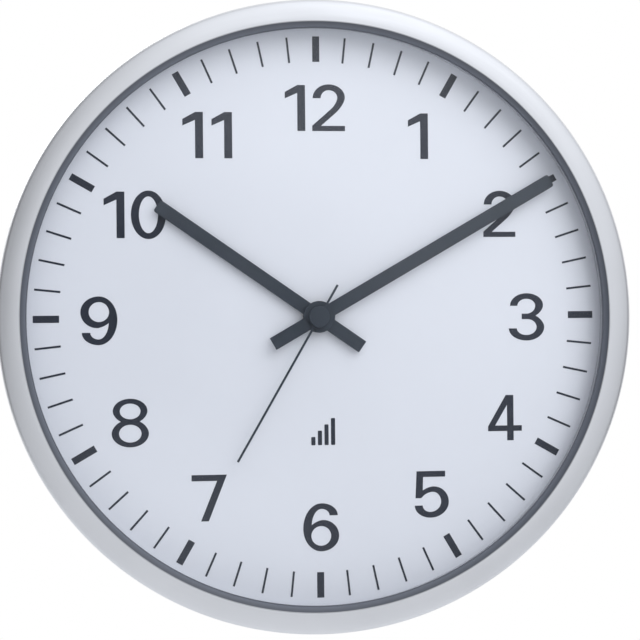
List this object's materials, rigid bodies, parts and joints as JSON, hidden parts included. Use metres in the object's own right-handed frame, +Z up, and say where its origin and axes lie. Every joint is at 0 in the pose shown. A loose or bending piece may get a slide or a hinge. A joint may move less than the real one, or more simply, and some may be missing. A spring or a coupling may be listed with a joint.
{
  "type": "wall clock",
  "caption": "Round radio-controlled wall clock with a satin metal rim, plain numeral dial, baton hands, a geared quartz movement, rear buttons and a keyhole hanger.",
  "frame": {"origin": "centre of the keyhole's round end, on the rear face of the hanger plate", "axes": "the clock faces -Y, +Y points into the wall, +Z is up and +X is to the right of someone reading the dial"},
  "size_m": [0.3, 0.041, 0.3],
  "materials": {
    "rim_aluminium": "satin anodised",
    "clear_glass": "polished",
    "gasket_rubber": "matte",
    "ring_plastic": "fine matte",
    "dial_face": "matte, very light blue-grey white",
    "dial_ink": "matte printed ink",
    "dark_plastic": "matte",
    "pan_plastic": "fine textured",
    "screw_steel": "zinc plated",
    "plate_steel": "zinc plated",
    "bumper_rubber": "matte",
    "brass": "turned",
    "hand_paint": "matte dark slate lacquer",
    "movement_plastic": "fine textured",
    "board_green": "solder mask",
    "chip_black": "matte",
    "can_metal": "tinned",
    "contact_metal": "nickel plated",
    "button_red": "satin",
    "button_grey": "satin",
    "ferrite": "sintered",
    "copper_wire": "enamelled winding",
    "bobbin_plastic": "moulded",
    "soft_iron": "stamped",
    "magnet": "moulded magnet",
    "gear_plastic": "moulded",
    "battery_sleeve": "plain printed film sleeve"
  },
  "bodies": {
    "clock_case": {"rim": "rim_aluminium", "lens": "clear_glass", "lens_gasket": "gasket_rubber", "spacer_ring": "ring_plastic", "dial": "dial_face", "dial_print": "dial_ink", "dial_plate": "dark_plastic", "back_ring": "pan_plastic", "back_plate": "pan_plastic", "pan_screws": "screw_steel", "hanger_plate": "plate_steel", "hanger_screws": "screw_steel", "wall_bumpers": "bumper_rubber", "bush_washer": "brass", "bush_nut": "brass", "movement_front": "movement_plastic", "movement_back": "movement_plastic", "movement_screws": "screw_steel", "circuit_board": "board_green", "controller_chip": "chip_black", "quartz_crystal": "can_metal", "key_domes": "contact_metal", "aerial_rod": "ferrite", "aerial_coil": "copper_wire", "second_bobbin": "bobbin_plastic", "minute_bobbin": "bobbin_plastic", "second_winding": "copper_wire", "minute_winding": "copper_wire", "second_core": "soft_iron", "minute_core": "soft_iron", "second_stator": "soft_iron", "minute_stator": "soft_iron", "battery": "battery_sleeve", "positive_contact": "contact_metal", "negative_contact": "contact_metal"},
    "minute_work": {"minute_hand": "hand_paint", "centre_wheel": "gear_plastic"},
    "hour_work": {"hour_hand": "hand_paint", "hour_wheel": "gear_plastic"},
    "second_work": {"second_hand": "hand_paint", "second_collet": "brass", "second_cap": "hand_paint", "second_wheel": "gear_plastic"},
    "motion_wheel": {"motion_wheel": "gear_plastic"},
    "minute_third": {"minute_third_wheel": "gear_plastic"},
    "minute_first": {"minute_first_wheel": "gear_plastic"},
    "minute_rotor": {"minute_rotor": "magnet"},
    "second_third": {"second_third_wheel": "gear_plastic"},
    "second_rotor": {"second_rotor": "magnet"},
    "receive_button": {"button_receive": "button_red"},
    "set_button": {"button_set": "button_grey"},
    "reset_button": {"button_reset": "button_grey"}
  },
  "joints": [
    {"name": "minute_spin", "type": "hinge", "parent": "clock_case", "child": "minute_work", "pos_m": [0, -0.0242, -0.105], "axis": [0, 1, 0], "continuous": true},
    {"name": "hour_spin", "type": "hinge", "parent": "clock_case", "child": "hour_work", "pos_m": [0, -0.0242, -0.105], "axis": [0, 1, 0], "continuous": true},
    {"name": "second_spin", "type": "hinge", "parent": "clock_case", "child": "second_work", "pos_m": [0, -0.0242, -0.105], "axis": [0, 1, 0], "continuous": true},
    {"name": "motion_spin", "type": "hinge", "parent": "clock_case", "child": "motion_wheel", "pos_m": [0, -0.0152, -0.117], "axis": [0, 1, 0], "continuous": true},
    {"name": "minute_third_spin", "type": "hinge", "parent": "clock_case", "child": "minute_third", "pos_m": [0.0144, -0.0122, -0.105], "axis": [0, 1, 0], "continuous": true},
    {"name": "minute_first_spin", "type": "hinge", "parent": "clock_case", "child": "minute_first", "pos_m": [0.01078, -0.0122, -0.09148], "axis": [0, 1, 0], "continuous": true},
    {"name": "minute_rotor_spin", "type": "hinge", "parent": "clock_case", "child": "minute_rotor", "pos_m": [0.02456, -0.0122, -0.08905], "axis": [0, 1, 0], "continuous": true},
    {"name": "second_third_spin", "type": "hinge", "parent": "clock_case", "child": "second_third", "pos_m": [-0.0144, -0.0102, -0.105], "axis": [0, 1, 0], "continuous": true},
    {"name": "second_rotor_spin", "type": "hinge", "parent": "clock_case", "child": "second_rotor", "pos_m": [-0.02243, -0.0122, -0.09353], "axis": [0, 1, 0], "continuous": true},
    {"name": "receive_press", "type": "slide", "parent": "clock_case", "child": "receive_button", "axis": [0, -1, 0], "range_m": [0, 0.0008], "stiffness_N_per_m": 400},
    {"name": "set_press", "type": "slide", "parent": "clock_case", "child": "set_button", "axis": [0, -1, 0], "range_m": [0, 0.0008], "stiffness_N_per_m": 400},
    {"name": "reset_press", "type": "slide", "parent": "clock_case", "child": "reset_button", "axis": [0, -1, 0], "range_m": [0, 0.0008], "stiffness_N_per_m": 400}
  ],
  "couplings": [
    {"joint": "hour_spin", "follows": "minute_spin", "ratio": 0.083333},
    {"joint": "motion_spin", "follows": "minute_spin", "ratio": -0.33333},
    {"joint": "minute_third_spin", "follows": "minute_spin", "ratio": -5},
    {"joint": "minute_first_spin", "follows": "minute_spin", "ratio": 30},
    {"joint": "minute_rotor_spin", "follows": "minute_spin", "ratio": -180},
    {"joint": "second_third_spin", "follows": "second_spin", "ratio": -5},
    {"joint": "second_rotor_spin", "follows": "second_spin", "ratio": 30}
  ]
}
